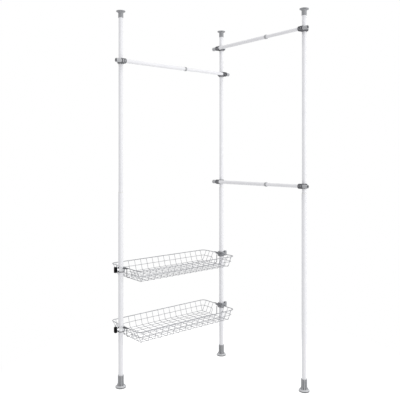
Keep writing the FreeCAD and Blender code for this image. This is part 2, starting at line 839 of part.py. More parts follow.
def wall_meshes():
    """Front and back walls, and two halves of each end wall beside its opening."""
    walls = []
    angle, slant, foot, inset = lean(S.side_flare.value)
    side = [upright(x, slant) for x in Mesh.cross_x]
    side.append(level(-Mesh.floor_x, Mesh.floor_x, slant))
    side_wall = bars(side)
    y = rim_half_width.value - inset
    walls.append(stand(side_wall, 0, -y, foot, 0, angle))
    walls.append(stand(side_wall, 0, y, foot, 180, angle))
    angle, slant, foot, inset = lean(S.end_flare.value)
    outer_wires = [y for y in Mesh.long_y if y > Mesh.opening + Mesh.wire]
    x = rim_half_length.value - inset
    for hand in (-1, 1):
        half_wall = [upright(y * hand, slant) for y in outer_wires]
        half_wall.append(upright(Mesh.opening * hand, slant, S.middle_wire_share.value))
        reach = sorted(((Mesh.opening - Mesh.half) * hand, Mesh.floor_y * hand))
        half_wall.append(level(*reach, slant))
        end_wall = bars(half_wall)
        walls.append(stand(end_wall, x, 0, foot, 90, angle))
        walls.append(stand(end_wall, -x, 0, foot, -90, angle))
    return Part.makeCompound(walls)


def mesh_part(shape, label, height):
    obj = doc.addObject("Part::Feature", label)
    obj.Shape = shape
    return keep(place(obj, -S.left_bay / 2, NONE, height), label)


def basket(name, height):
    rim(name, height)
    mesh_part(floor_mesh(), name + "_floor", height)
    mesh_part(wall_meshes(), name + "_walls", height)
    rings = [clamp_ring(f"{name}_{post}_ring", post, height) for post in BASKET_ENDS]
    keep(group(name + "_clamp_rings", *rings), name + "_clamp_rings")
    hangers = [bracket(f"{name}_{post}_bracket", post, height) for post in BASKET_ENDS]
    keep(group(name + "_brackets", *hangers), name + "_brackets")
    for post in BASKET_ENDS:
        knob(f"{name}_{post}_knob", post, height)


def build():
    for post in POSTS:
        lower_tube(post)
        upper_tube(post)
        foot_shell(post)
        foot_pad(post)
        foot_spindle(post)
        top_cap(post)
    left_bay_posts = ("left", "corner")
    keep(group("bushes", *[lock_bush(post) for post in left_bay_posts]), "left_bay_lock_bushes")
    keep(group("nuts", *[spindle_nut(post) for post in left_bay_posts]), "left_bay_spindle_nuts")
    keep(lock_bush("right"), "right_lock_bush")
    keep(spindle_nut("right"), "right_spindle_nut")
    left_rail()
    right_rail("right_top_rail", S.post_height - S.top_rail_drop)
    right_rail("right_mid_rail", S.lower_top + S.mid_rail_rise)
    basket("upper_basket", S.upper_basket_height)
    basket("lower_basket", S.lower_basket_height)
    doc.recompute()


def check():
    """Stop unless every feature worked, every cut removed material and every shape is sound."""
    for obj in doc.Objects:
        if {"Invalid", "Error"} & set(obj.State):
            raise RuntimeError(f"{obj.Name} failed: {obj.State}")
    for feature, base in cuts:
        if not feature.Shape.Volume < base.Shape.Volume:
            raise RuntimeError(f"{feature.Name} cut nothing")
    for obj in sub_parts:
        if obj.Shape.isNull() or not obj.Shape.isValid() or not obj.Shape.Solids:
            raise RuntimeError(f"{obj.Label} has no sound shape")


def write():
    os.makedirs("parts", exist_ok=True)
    for obj in sub_parts:
        obj.Shape.exportStep(os.path.join("parts", obj.Label + ".step"))


build()
check()
write()
print(f"{len(sub_parts)} sub-parts written")
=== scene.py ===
import math
import bmesh
import bpy
from mathutils import Matrix, Vector


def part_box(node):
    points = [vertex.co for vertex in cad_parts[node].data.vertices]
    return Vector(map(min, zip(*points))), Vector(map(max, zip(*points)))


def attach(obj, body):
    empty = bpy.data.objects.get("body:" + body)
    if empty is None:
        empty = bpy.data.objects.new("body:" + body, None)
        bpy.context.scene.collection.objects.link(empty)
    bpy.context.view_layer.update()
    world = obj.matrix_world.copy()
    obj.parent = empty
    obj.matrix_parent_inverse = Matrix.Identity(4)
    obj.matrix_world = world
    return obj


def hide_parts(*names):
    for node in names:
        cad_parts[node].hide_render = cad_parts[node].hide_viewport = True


# Corner open wardrobe of white telescopic posts, clamped hanging rails and wire baskets.
# Metres, in the frame of the CAD model: +Z is up, the left bay runs along -X, the right bay along -Y.

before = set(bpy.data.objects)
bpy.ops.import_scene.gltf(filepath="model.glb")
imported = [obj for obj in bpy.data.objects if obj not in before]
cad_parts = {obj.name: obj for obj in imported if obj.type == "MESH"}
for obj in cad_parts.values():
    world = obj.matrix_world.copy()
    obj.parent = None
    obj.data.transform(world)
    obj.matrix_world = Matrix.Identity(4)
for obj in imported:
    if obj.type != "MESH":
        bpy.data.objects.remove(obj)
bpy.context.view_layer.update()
scene = bpy.context.scene
mm = 0.001
FULL_TURN = 2 * math.pi
SHARP_EDGE = math.radians(38)


# Materials

PATCH_DETAIL = 4
PATCH_LEVELS = (0.35, 0.65)
GRAIN_DETAIL = 2
RUBBED_AND_HIGHLIT_LEVELS = (0.52, 0.62)


def linear(code):
    """Linear colour of an sRGB hex value."""
    parts = [int(code[at:at + 2], 16) / 255 for at in (1, 3, 5)]
    return [p / 12.92 if p <= 0.04045 else ((p + 0.055) / 1.055) ** 2.4 for p in parts] + [1]


def add(tree, kind, sockets=None, **settings):
    """Add a node with its settings; each socket gets a value or a link."""
    node = tree.nodes.new(kind)
    for name, value in settings.items():
        setattr(node, name, value)
    for name, value in (sockets or {}).items():
        if isinstance(value, bpy.types.NodeSocket):
            tree.links.new(value, node.inputs[name])
        else:
            node.inputs[name].default_value = value
    return node


def per_metre(size_mm):
    """Texture scale for features of a real size."""
    return 1 / (size_mm * mm)


def finish(name, tones, edge, roughness, cloud, grain, depth, stretch=(1, 1, 1), **sockets):
    """A surface that drifts between two tones over patches of cloud mm, with roughness to match.

    Its grain is grain mm across and depth mm deep, and stretch packs both closer along an axis. Outer
    edges take the paler edge tone, partly as wear where hands and tools rub and partly as a painted
    highlight.
    """
    material = bpy.data.materials.new(name)
    material.use_nodes = True
    tree = material.node_tree
    tree.nodes.clear()
    spot = add(tree, "ShaderNodeTexCoord").outputs["Object"]
    drawn = add(tree, "ShaderNodeMapping", {"Vector": spot, "Scale": stretch}).outputs["Vector"]
    patches = add(tree, "ShaderNodeTexNoise", {
        "Vector": drawn, "Scale": per_metre(cloud), "Detail": PATCH_DETAIL,
    }).outputs["Fac"]
    drift = add(tree, "ShaderNodeMapRange", {
        "Value": patches, "From Min": PATCH_LEVELS[0], "From Max": PATCH_LEVELS[1],
    }).outputs["Result"]
    # Sockets 6 and 7 of a Mix node are its colours, and output 2 is the mixed one
    tone = add(tree, "ShaderNodeMix", {0: drift, 6: linear(tones[0]), 7: linear(tones[1])},
               data_type="RGBA").outputs[2]
    # Convex edges turn paler: partly rubbed wear, partly a painted highlight.
    bend = add(tree, "ShaderNodeNewGeometry").outputs["Pointiness"]
    rubbed_and_highlit = add(tree, "ShaderNodeMapRange", {
        "Value": bend, "From Min": RUBBED_AND_HIGHLIT_LEVELS[0], "From Max": RUBBED_AND_HIGHLIT_LEVELS[1],
    }).outputs["Result"]
    tone = add(tree, "ShaderNodeMix", {0: rubbed_and_highlit, 6: tone, 7: linear(edge)}, data_type="RGBA").outputs[2]
    gloss = add(tree, "ShaderNodeMapRange", {
        "Value": drift, "To Min": roughness[0], "To Max": roughness[1],
    }).outputs["Result"]
    pits = add(tree, "ShaderNodeTexNoise", {
        "Vector": drawn, "Scale": per_metre(grain), "Detail": GRAIN_DETAIL,
    }).outputs["Fac"]
    relief = add(tree, "ShaderNodeBump", {"Height": pits, "Distance": depth * mm}).outputs["Normal"]
    shader = add(tree, "ShaderNodeBsdfPrincipled", {
        "Base Color": tone, "Roughness": gloss, "Normal": relief, **sockets,
    })
    add(tree, "ShaderNodeOutputMaterial", {"Surface": shader.outputs["BSDF"]})
    return material


# White polyester powder coat, melted on in an oven: satin, with the soft waves of orange peel.
# The real waves are 1.5 to 2 mm across and are drawn at 3 mm, so that they show.
powder_coat = finish("white_powder_coat", ("#EEEEF1", "#EAEAEE"), "#F1F1F4", roughness=(0.4, 0.5),
                     cloud=90, grain=3, depth=0.008, **{"Specular IOR Level": 0.3})

# Mid grey ABS, injection moulded in a spark-eroded mould: an even, fine matt grain of 0.3 mm,
# drawn at 0.8 mm, and paler edges, partly rubbed and partly a painted highlight.
grey_abs = finish("moulded_grey_abs", ("#9C9DA0", "#949599"), "#AEAFB2", roughness=(0.34, 0.44),
                  cloud=22, grain=0.8, depth=0.012)

# The same plastic with more white in it, for the feet and for the caps and collars of the rails.
pale_abs = finish("moulded_pale_grey_abs", ("#B2B3B6", "#AAABAE"), "#BFC0C2", roughness=(0.34, 0.44),
                  cloud=22, grain=0.8, depth=0.012)

# Near white grade of the same plastic for the rims of the feet: painted light on the base's upward face.
lit_rim_abs = finish("moulded_lit_rim_abs", ("#CCCDD0", "#C4C5C8"), "#D6D7D9", roughness=(0.36, 0.46),
                 cloud=18, grain=0.8, depth=0.012)

# Dark grey glass-filled nylon, moulded: dull and a little streaky where the short fibres lie.
filled_nylon = finish("glass_filled_dark_nylon", ("#505156", "#46474B"), "#63646A", roughness=(0.5, 0.62),
                      cloud=9, grain=0.7, depth=0.03, stretch=(1, 1, 2.5))

# Black phenolic, pressed hot and tumbled: deep black with a soft shine and a faint haze.
black_phenolic = finish("black_phenolic", ("#050506", "#080809"), "#0E0E0F", roughness=(0.45, 0.55),
                        cloud=14, grain=1.2, depth=0.008, **{"Specular IOR Level": 0.05})

# Natural nylon, turned from a moulded blank: milky off-white.
natural_nylon = finish("natural_nylon", ("#E6E4DC", "#DEDCD3"), "#EFEEE8", roughness=(0.4, 0.5),
                       cloud=18, grain=0.6, depth=0.01)

# Black rubber, compression moulded: no shine, a fine pebble that holds dust.
moulded_rubber = finish("moulded_black_rubber", ("#202021", "#2B2B2C"), "#38383A", roughness=(0.78, 0.9),
                        cloud=12, grain=0.9, depth=0.05)

# Zinc-plated steel: bright passivated zinc with a cloudy blue-grey bloom.
zinc_plate = finish("zinc_plated_steel", ("#B4B7BB", "#A2A5A9"), "#CFD0D2", roughness=(0.28, 0.42),
                    cloud=5, grain=0.5, depth=0.01, Metallic=1)

# Chrome on drawn steel wire, dulled by its thin plating: the drawing leaves fine scores.
plated_wire = finish("chrome_plated_wire", ("#9A9B9F", "#8E8F93"), "#ABACB0", roughness=(0.36, 0.48),
                     cloud=30, grain=0.6, depth=0.006, Metallic=1)

# Chrome on pressed steel, polished before plating.
polished_chrome = finish("polished_chrome", ("#D8D9DB", "#CCCDD0"), "#E6E6E8", roughness=(0.1, 0.18),
                         cloud=20, grain=1.5, depth=0.006, Metallic=1)

# Die-cast zinc, tumbled and left bare: a dull mid grey skin with faint flow marks.
cast_zinc = finish("die_cast_zinc", ("#96989B", "#86888C"), "#ABADB0", roughness=(0.34, 0.46),
                   cloud=9, grain=1.1, depth=0.01, Metallic=1)

# Dark grey stove enamel on bent steel: smooth and half glossy; its paler edges are partly thin enamel and
# partly a painted highlight.
dark_enamel = finish("dark_grey_enamel_on_steel", ("#77787C", "#6C6D71"), "#8C8D91", roughness=(0.34, 0.46),
                     cloud=16, grain=1.6, depth=0.02)


# Shapes

ROUND_SIDES = 48
WIDE_SIDES = 96
MERGE_DISTANCE = 0.001 * mm
MESH_MERGE_DISTANCE = 0.002 * mm
FLAT_ANGLE = math.radians(0.5)
SLAB_EDGE_STEPS = 3
MOULDED_EDGE_STEPS = 2
ROUND_PROFILE = 0.5
THREAD_SIDES = 20
THREAD_LEVELS = 6
THREAD_DEPTH_SHARE = 0.55
BEND_STEPS = 7
WIRE_SIDES = 12


def soften(outline, steps=4):
    """Round the corners of an outline; each point is (across, along) or (across, along, radius)."""
    rounded = []
    for at, (across, along, *radius) in enumerate(outline):
        corner = Vector((across, along))
        if not radius:
            rounded.append(corner)
            continue
        before = (Vector(outline[at - 1][:2]) - corner).normalized()
        after = (Vector(outline[(at + 1) % len(outline)][:2]) - corner).normalized()
        half = before.angle(after) / 2
        run = radius[0] / math.tan(half)
        start = corner + before * run
        end = corner + after * run
        middle = corner + (before + after).normalized() * (radius[0] / math.sin(half))
        for step in range(steps + 1):
            rounded.append(middle + (start - middle).slerp(end - middle, step / steps) * radius[0])
    return rounded


def rectangle(left, bottom, right, top, *corner):
    """Outline of a rectangle, rounded where a corner radius is given."""
    return soften([
        (left, bottom, *corner), (right, bottom, *corner), (right, top, *corner), (left, top, *corner),
    ], steps=6)


def turned(outline, segments=ROUND_SIDES, reach=None):
    """Turn an outline of (radius, height) about Z. reach(radius, height, angle) may change the radius."""
    shape = bmesh.new()
    rings = []
    for index in range(segments):
        angle = FULL_TURN * index / segments
        ring = []
        for radius, height in outline:
            away = reach(radius, height, angle) if reach and radius else radius
            ring.append(shape.verts.new((away * math.cos(angle), away * math.sin(angle), height)))
        rings.append(ring)
    for index, ring in enumerate(rings):
        after = rings[(index + 1) % segments]
        for at in range(len(outline)):
            up = (at + 1) % len(outline)
            if outline[at][0] or outline[up][0]:
                shape.faces.new((ring[at], after[at], after[up], ring[up]))
    bmesh.ops.remove_doubles(shape, verts=shape.verts, dist=MERGE_DISTANCE)
    bmesh.ops.recalc_face_normals(shape, faces=shape.faces)
    return shape


def slab(outline, thickness, edge):
    """A flat outline grown along Z, with softened edges."""
    shape = bmesh.new()
    face = shape.faces.new([shape.verts.new((across, along, 0)) for across, along in outline])
    drawn = bmesh.ops.extrude_face_region(shape, geom=[face])["geom"]
    top = [part for part in drawn if isinstance(part, bmesh.types.BMVert)]
    bmesh.ops.translate(shape, verts=top, vec=(0, 0, thickness))
    bmesh.ops.recalc_face_normals(shape, faces=shape.faces)
    sharp = [line for line in shape.edges if line.calc_face_angle() > SHARP_EDGE]
    bmesh.ops.bevel(shape, geom=sharp, offset=edge, segments=SLAB_EDGE_STEPS, profile=ROUND_PROFILE,
                    affect="EDGES")
    return shape


def moulded(node, edge):
    """Copy of a CAD node's mesh with its sharp edges softened."""
    shape = bmesh.new()
    shape.from_mesh(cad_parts[node].data)
    bmesh.ops.remove_doubles(shape, verts=shape.verts, dist=MESH_MERGE_DISTANCE)
    bmesh.ops.dissolve_limit(shape, angle_limit=FLAT_ANGLE, verts=shape.verts, edges=shape.edges)
    sharp = [line for line in shape.edges if line.is_manifold and line.calc_face_angle() > SHARP_EDGE]
    bmesh.ops.bevel(shape, geom=sharp, offset=edge, segments=MOULDED_EDGE_STEPS, profile=ROUND_PROFILE,
                    affect="EDGES", clamp_overlap=True)
    return shape


def aim(spot, direction):
    """Placement that takes the shape's Z to a direction at a spot."""
    return Matrix.Translation(spot) @ Vector(direction).to_track_quat("Z", "Y").to_matrix().to_4x4()


def joined(shapes):
    """One shape made of placed shapes."""
    whole = bmesh.new()
    for shape, placement in shapes:
        part = bpy.data.meshes.new("placed_shape")
        shape.to_mesh(part)
        part.transform(placement)
        whole.from_mesh(part)
        bpy.data.meshes.remove(part)
    return whole


def piece(name, shapes, material, body, slot, *nodes):
    """One finished object made of placed shapes, in the stead of the CAD nodes."""
    whole = joined(shapes)
    mesh = bpy.data.meshes.new(name)
    whole.to_mesh(mesh)
    whole.free()
    mesh.materials.append(material)
    mesh.shade_smooth()
    mesh.set_sharp_from_angle(angle=SHARP_EDGE)
    made = bpy.data.objects.new(name, mesh)
    scene.collection.objects.link(made)
    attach(made, body)
    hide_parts(*nodes)


def hexagon_reach(angle, across_flats):
    """How far a hexagon's side is from its middle in a direction."""
    sixth = FULL_TURN / 6
    return across_flats / 2 / math.cos((angle + sixth / 2) % sixth - sixth / 2)


def scallop_reach(angle, radius, count, bite, depth):
    """Rim of a disc with round bites of one radius and depth taken out of it."""
    share = FULL_TURN / count
    off = (angle + share / 2) % share - share / 2
    away = radius + bite - depth
    sideways = away * math.sin(off)
    if abs(sideways) >= bite:
        return radius
    return min(radius, away * math.cos(off) - math.sqrt(bite * bite - sideways * sideways))


def ease(start, end, value):
    """0 before start, 1 after end, and smooth between them."""
    share = min(max((value - start) / (end - start), 0), 1)
    return share * share * (3 - 2 * share)


def tube(radius, wall, length):
    """Steel tube with broken edges."""
    edge = wall / 4
    return turned(soften([
        (radius, 0, edge), (radius, length, edge), (radius - wall, length, edge), (radius - wall, 0, edge),
    ], steps=2))


def threaded(radius, pitch, length, segments=THREAD_SIDES):
    """Screw shank whose thread fades out at both ends."""
    depth = THREAD_DEPTH_SHARE * pitch
    count = int(length / pitch * THREAD_LEVELS) + 1
    heights = [pitch * step / THREAD_LEVELS for step in range(count)]

    def thread(base, height, angle):
        wave = abs(2 * ((height / pitch - angle / FULL_TURN) % 1) - 1)
        fade = ease(0, pitch, height) * ease(0, pitch, length - height)
        return base - depth * wave * fade

    return turned([(0, 0)] + [(radius, height) for height in heights] + [(0, heights[-1])], segments, thread)


# Geometry Nodes trees that repeat a shape in a row

def row_tree(name, labels, shape):
    """A tree that makes a shape from its named inputs and repeats it Count times, a Step apart."""
    tree = bpy.data.node_groups.new(name, "GeometryNodeTree")
    shared = {"Count": "NodeSocketInt", "Step": "NodeSocketVector", "Material": "NodeSocketMaterial"}
    for label, kind in {"Source": "NodeSocketGeometry", **labels, **shared}.items():
        tree.interface.new_socket(label, in_out="INPUT", socket_type=kind)
    tree.interface.new_socket("Row", in_out="OUTPUT", socket_type="NodeSocketGeometry")
    given = add(tree, "NodeGroupInput").outputs
    spots = add(tree, "GeometryNodeMeshLine", {"Count": given["Count"], "Offset": given["Step"]},
                mode="OFFSET")
    row = add(tree, "GeometryNodeInstanceOnPoints", {
        "Points": spots.outputs["Mesh"], "Instance": shape(tree, given),
    })
    solid = add(tree, "GeometryNodeRealizeInstances", {"Geometry": row.outputs["Instances"]})
    shown = add(tree, "GeometryNodeSetMaterial", {
        "Geometry": solid.outputs["Geometry"], "Material": given["Material"],
    })
    add(tree, "NodeGroupOutput", {"Row": shown.outputs["Geometry"]})
    return tree


def bent_wire(tree, given):
    """A path with its corners bent round, swept by a round wire."""
    bent = add(tree, "GeometryNodeFilletCurve", {
        "Curve": given["Source"], "Count": BEND_STEPS, "Radius": given["Bend Radius"], "Limit Radius": True,
    }, mode="POLY")
    section = add(tree, "GeometryNodeCurvePrimitiveCircle", {
        "Resolution": WIRE_SIDES, "Radius": given["Wire Radius"],
    })
    return add(tree, "GeometryNodeCurveToMesh", {
        "Curve": bent.outputs["Curve"], "Profile Curve": section.outputs["Curve"], "Fill Caps": True,
    }).outputs["Mesh"]


def as_given(tree, given):
    """The source as it comes."""
    return given["Source"]


wire_row = row_tree("row_of_bent_wires", {
    "Wire Radius": "NodeSocketFloat", "Bend Radius": "NodeSocketFloat",
}, bent_wire)
bolt_row = row_tree("row_of_clamp_bolts", {}, as_given)


def grown(source, tree, **values):
    """Run a row tree on a curve or a mesh and return the plain shape. Step is (0, 0, 0) for one."""
    holder = bpy.data.objects.new(tree.name, source)
    scene.collection.objects.link(holder)
    modifier = holder.modifiers.new(tree.name, "NODES")
    modifier.node_group = tree
    for socket in tree.interface.items_tree:
        if socket.name in values:
            modifier[socket.identifier] = values[socket.name]
    ready = holder.evaluated_get(bpy.context.evaluated_depsgraph_get())
    mesh = bpy.data.meshes.new_from_object(ready)
    holder.modifiers.remove(modifier)
    bpy.data.objects.remove(holder)
    shape = bmesh.new()
    shape.from_mesh(mesh)
    bpy.data.meshes.remove(mesh)
    return shape


def wires(points, radius, bend, material, count=1, step=(0, 0, 0), closed=False):
    """A row of equal wires bent along the points."""
    path = bpy.data.curves.new("wire_path", "CURVE")
    path.dimensions = "3D"
    line = path.splines.new("POLY")
    line.points.add(len(points) - 1)
    for spot, point in zip(line.points, points):
        spot.co = (*point, 1)
    line.use_cyclic_u = closed
    values = {"Wire Radius": radius, "Bend Radius": bend, "Count": count, "Step": step, "Material": material}
    return grown(path, wire_row, **values)


# Posts, with their feet and ceiling caps

POST_BODIES = {
    "left": ("left_bay_base", "left_bay_uppers"),
    "corner": ("left_bay_base", "left_bay_uppers"),
    "right": ("right_lower_post", "right_upper_post"),
}
LOWER_WALL = 1.2 * mm
UPPER_WALL = 1 * mm
FOOT_LIP = 6 * mm
FOOT_FLANGE = 6 * mm
FOOT_FLARE = 25 * mm
FOOT_WALL = 3.7 * mm
FOOT_PLAY = 0.3 * mm
FOOT_FLOOR = 12 * mm
FLARE_STEPS = 14
FLUTES = 12
FLUTE_SIDES = 16
FLUTE_BITE = 3 * mm
FLUTE_DEPTH = 2 * mm
FLUTE_FOOT = 3 * mm
SHADE_CORE_INSET = 1.1 * mm
RIM_START = 4 * mm
RIM_RISE = 6.5 * mm
RIM_TOP_INSET = 7.5 * mm
CAP_LIP = 6 * mm
CAP_FLARE = 12 * mm
CAP_WALL = 2.4 * mm
CAP_TOP = 8 * mm
SPINDLE_PITCH = 1.75 * mm
SPINDLE_SIDES = 24
SPINDLE_NUT_EDGE = 0.6 * mm
BUSH_LIP = 2 * mm
BUSH_PLAY = 0.05 * mm
SOFT_EDGE = 0.8 * mm
MOULD_EDGE = 1.6 * mm


def size_of(node):
    """Lengths of a node's box along the three axes."""
    low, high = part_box(node)
    return high - low


def axis_of(node):
    """Middle of a node in plan, at the height of its lower end."""
    low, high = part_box(node)
    return Vector(((low.x + high.x) / 2, (low.y + high.y) / 2, low.z))


def post_tube(post, level, wall, body):
    """Lower or upper tube of a post."""
    node = f"{post}_{level}_tube"
    size = size_of(node)
    shape = tube(size.x / 2, wall, size.z)
    piece(f"{post}_{level}_steel", [(shape, Matrix.Translation(axis_of(node)))], powder_coat, body,
          "white_coat", node)


def hollow_flare(wide, sleeve, height):
    """Outline of a hollow flare from its wide end at height zero to the sleeve, which it leaves straight."""
    spread = wide - sleeve
    radius = (spread * spread + height * height) / (2 * spread)
    whole = math.atan2(height, radius - spread)
    outline = []
    for step in range(FLARE_STEPS + 1):
        angle = whole * (1 - step / FLARE_STEPS)
        outline.append((sleeve + radius * (1 - math.cos(angle)), height - radius * math.sin(angle)))
    return outline


def foot_shell(post):
    """Round sleeve that flares to a round base.

    Its flutes deepen towards the base and show a dark core, painted shade in the flutes, which ends
    below in a lip. A pale rim, painted light on the base's upward face, slopes from the lip to the flare.
    """
    node = post + "_foot_shell"
    low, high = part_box(node)
    base = size_of(node).x / 2
    bore = size_of(post + "_lower_tube").x / 2 + FOOT_PLAY
    sleeve = bore + FOOT_WALL
    lip_top = low.z + FOOT_LIP
    flare_end = base - FOOT_FLANGE

    def reach(radius, height, angle):
        if radius <= bore:
            return radius
        share = (sleeve - scallop_reach(angle, sleeve, FLUTES, FLUTE_BITE, FLUTE_DEPTH)) / FLUTE_DEPTH
        depth = FLUTE_FOOT + (FLUTE_DEPTH - FLUTE_FOOT) * ease(lip_top, lip_top + FOOT_FLARE, height)
        return radius - depth * share * min((radius - bore) / FOOT_WALL, 1)

    flare = [(radius, lip_top + height) for radius, height in hollow_flare(flare_end, sleeve, FOOT_FLARE)]
    shell = turned(soften([(bore, lip_top)] + flare + [
        (sleeve, high.z, SOFT_EDGE), (bore, high.z, SOFT_EDGE / 2),
    ]), FLUTES * FLUTE_SIDES, reach)
    rim_low = low.z + RIM_START
    top = high.z - MOULD_EDGE
    outline = [(0, low.z), (base, low.z, SOFT_EDGE), (base, rim_low), (flare_end, rim_low)]
    outline += [(radius - SHADE_CORE_INSET, height) for radius, height in flare]
    outline += [(sleeve - SHADE_CORE_INSET, top), (bore, top), (bore, FOOT_FLOOR), (0, FOOT_FLOOR)]
    shade_core = turned(soften(outline), WIDE_SIDES)
    rim_top = lip_top + RIM_RISE
    rim = turned(soften([
        (base - RIM_TOP_INSET, rim_low), (base, rim_low), (base, lip_top, MOULD_EDGE / 2),
        (base - RIM_TOP_INSET, rim_top, SOFT_EDGE), (sleeve, rim_top), (sleeve, rim_low),
    ]), WIDE_SIDES)
    axis = axis_of(node)
    spot = Matrix.Translation((axis.x, axis.y, 0))
    body = post + "_foot"
    piece(post + "_foot_moulding", [(shell, spot)], pale_abs, body, "grey_plastic", node)
    # The dark core shows through the flutes as painted shade.
    piece(post + "_foot_shade_core", [(shade_core, spot)], filled_nylon, body, "dark_plastic")
    # The pale rim is painted light on the base's upward face.
    piece(post + "_foot_lit_rim", [(rim, spot)], lit_rim_abs, body, "grey_plastic")


def foot_pad(post):
    """Rubber disc under a foot."""
    node = post + "_foot_pad"
    size = size_of(node)
    radius = size.x / 2
    edge = size.z / 4
    outline = [(0, 0), (radius, 0, edge), (radius, size.z, edge), (0, size.z)]
    shape = turned(soften(outline, steps=3), WIDE_SIDES)
    piece(post + "_foot_rubber", [(shape, Matrix.Translation(axis_of(node)))], moulded_rubber,
          post + "_foot", "black_rubber", node)


def foot_spindle(post):
    """Threaded spindle of a foot."""
    node = post + "_foot_spindle"
    size = size_of(node)
    shape = threaded(size.x / 2, SPINDLE_PITCH, size.z, SPINDLE_SIDES)
    piece(post + "_foot_screw", [(shape, Matrix.Translation(axis_of(node)))], zinc_plate,
          post + "_foot", "zinc_steel", node)


def ceiling_cap(post, body):
    """Round plate that narrows to a sleeve over the upper tube."""
    node = post + "_top_cap"
    size = size_of(node)
    plate = size.x / 2
    bore = size_of(post + "_upper_tube").x / 2
    sleeve = bore + CAP_WALL
    lip = size.z - CAP_LIP
    flare = [(radius, lip - height) for radius, height in reversed(hollow_flare(plate, sleeve, CAP_FLARE))]
    outline = [(bore, 0, SOFT_EDGE / 2), (sleeve, 0, SOFT_EDGE)]
    outline += flare[:-1]
    outline += [(plate, lip, MOULD_EDGE), (plate, size.z, SOFT_EDGE), (0, size.z), (0, size.z - CAP_TOP),
                (bore, size.z - CAP_TOP)]
    shape = turned(soften(outline), WIDE_SIDES)
    piece(post + "_ceiling_moulding", [(shape, Matrix.Translation(axis_of(node)))], grey_abs, body,
          "grey_plastic", node)


def bush_shape(lip_radius, total):
    """Split collet's lip on the mouth of the lower tube and its thin skirt inside."""
    inner = size_of("left_upper_tube").x / 2 + BUSH_PLAY
    grip = lip_radius - LOWER_WALL
    seat = total - BUSH_LIP
    return turned(soften([
        (inner, 0), (grip, 0), (grip, seat), (lip_radius, seat), (lip_radius, total, BUSH_LIP / 3),
        (inner, total, BUSH_LIP / 4),
    ]))


def nut_shape(node):
    """Plain nut that fills the bottom of the lower tube."""
    size = size_of(node)
    radius = size_of("left_lower_tube").x / 2 - LOWER_WALL
    bore = size_of("left_foot_spindle").x / 2
    edge = SPINDLE_NUT_EDGE
    return turned(soften([
        (bore, 0, edge), (radius, 0, edge), (radius, size.z, edge), (bore, size.z, edge),
    ], steps=2))


def bushes_and_nuts():
    """Lock bushes and spindle nuts in the lower tubes; the left bay's two posts share their nodes."""
    bush_size = size_of("right_lock_bush")
    bush = bush_shape(bush_size.x / 2, bush_size.z)
    nut = nut_shape("right_spindle_nut")
    sets = {
        "left_bay": ("left_bay_base", ("left", "corner"), "left_bay_lock_bushes", "left_bay_spindle_nuts"),
        "right": ("right_lower_post", ("right",), "right_lock_bush", "right_spindle_nut"),
    }
    for name, (body, posts, bush_node, nut_node) in sets.items():
        for kind, shape, node in (("collets", bush, bush_node), ("foot_nuts", nut, nut_node)):
            spots = []
            for post in posts:
                axis = axis_of(post + "_lower_tube")
                spots.append((shape, Matrix.Translation((axis.x, axis.y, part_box(node)[0].z))))
            piece(f"{name}_{kind}", spots, natural_nylon, body, "white_plastic", node)


for post, (lower_body, upper_body) in POST_BODIES.items():
    post_tube(post, "lower", LOWER_WALL, lower_body)
    post_tube(post, "upper", UPPER_WALL, upper_body)
    foot_shell(post)
    foot_pad(post)
    foot_spindle(post)
    ceiling_cap(post, upper_body)
bushes_and_nuts()


# Hanging rails

RAIL_WALL = 1 * mm
COLLAR_LIP = 3 * mm
COLLAR_GROOVES = 3
COLLAR_GROOVE = 0.5 * mm
FIRST_GROOVE_SHARE = 1.5
CAP_FLANGE = 4 * mm
CAP_PLUG = 14 * mm
CAP_SKIRT = 0.6 * mm
CAP_BRIM = 1.8 * mm
CAP_SINK = 3 * mm
SHADE_DISC_THICKNESS = 1 * mm
CLAMP_SLEEVE = 31 * mm
SKIRT_GAP = 1 * mm
CLAMP_EDGE = 0.9 * mm
BOLT_HEAD = 5 * mm
BOLT_RADIUS = 3 * mm
BOLT_PITCH = 1 * mm
BOLT_SIDES = 16
BOLT_CHAMFER = 0.5 * mm
HEAD_RADIUS = 5 * mm
SOCKET_WIDTH = 5 * mm
SOCKET_DEPTH = 3 * mm
SOCKET_LIMIT_SHARE = 0.6
NUT_WIDTH = 10 * mm
NUT_CORNER_SHARE = 0.58
NUT_LENGTH = 5 * mm
EAR_SIDE = 7.5 * mm
SHANK_PAST_NUT = 2 * mm


def rail_line(node, along):
    """Start of a rail piece on the rail's axis, and its length."""
    low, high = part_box(node)
    middle = (low + high) / 2
    half = abs((high - low).dot(along)) / 2
    return middle - along * half, 2 * half


def rail_tube(node, along, body, name):
    """Outer or inner tube of a rail."""
    start, length = rail_line(node, along)
    shape = tube(size_of(node).z / 2, RAIL_WALL, length)
    piece(name, [(shape, aim(start, along))], powder_coat, body, "white_coat", node)


def collar(node, along, body, inner_node, outer_node):
    """Grey collar on the mouth of the outer tube, with three finger grooves and a narrow lip."""
    start, length = rail_line(node, along)
    outer = size_of(node).z / 2
    seat = size_of(outer_node).z / 2
    guide = size_of(inner_node).z / 2
    groove = COLLAR_GROOVE
    pitch = length / (2 * COLLAR_GROOVES)
    outline = [(seat, 0), (outer, 0, SOFT_EDGE)]
    for turn in range(COLLAR_GROOVES):
        middle = pitch * (turn + FIRST_GROOVE_SHARE)
        outline += [(outer, middle - 2 * groove), (outer - groove, middle - groove),
                    (outer - groove, middle + groove), (outer, middle + 2 * groove)]
    outline += [(outer, length, SOFT_EDGE), (guide, length, SOFT_EDGE / 2), (guide, length - COLLAR_LIP),
                (seat, length - COLLAR_LIP)]
    shape = turned(soften(outline))
    piece(node + "_moulding", [(shape, aim(start, along))], pale_abs, body, "grey_plastic", node)


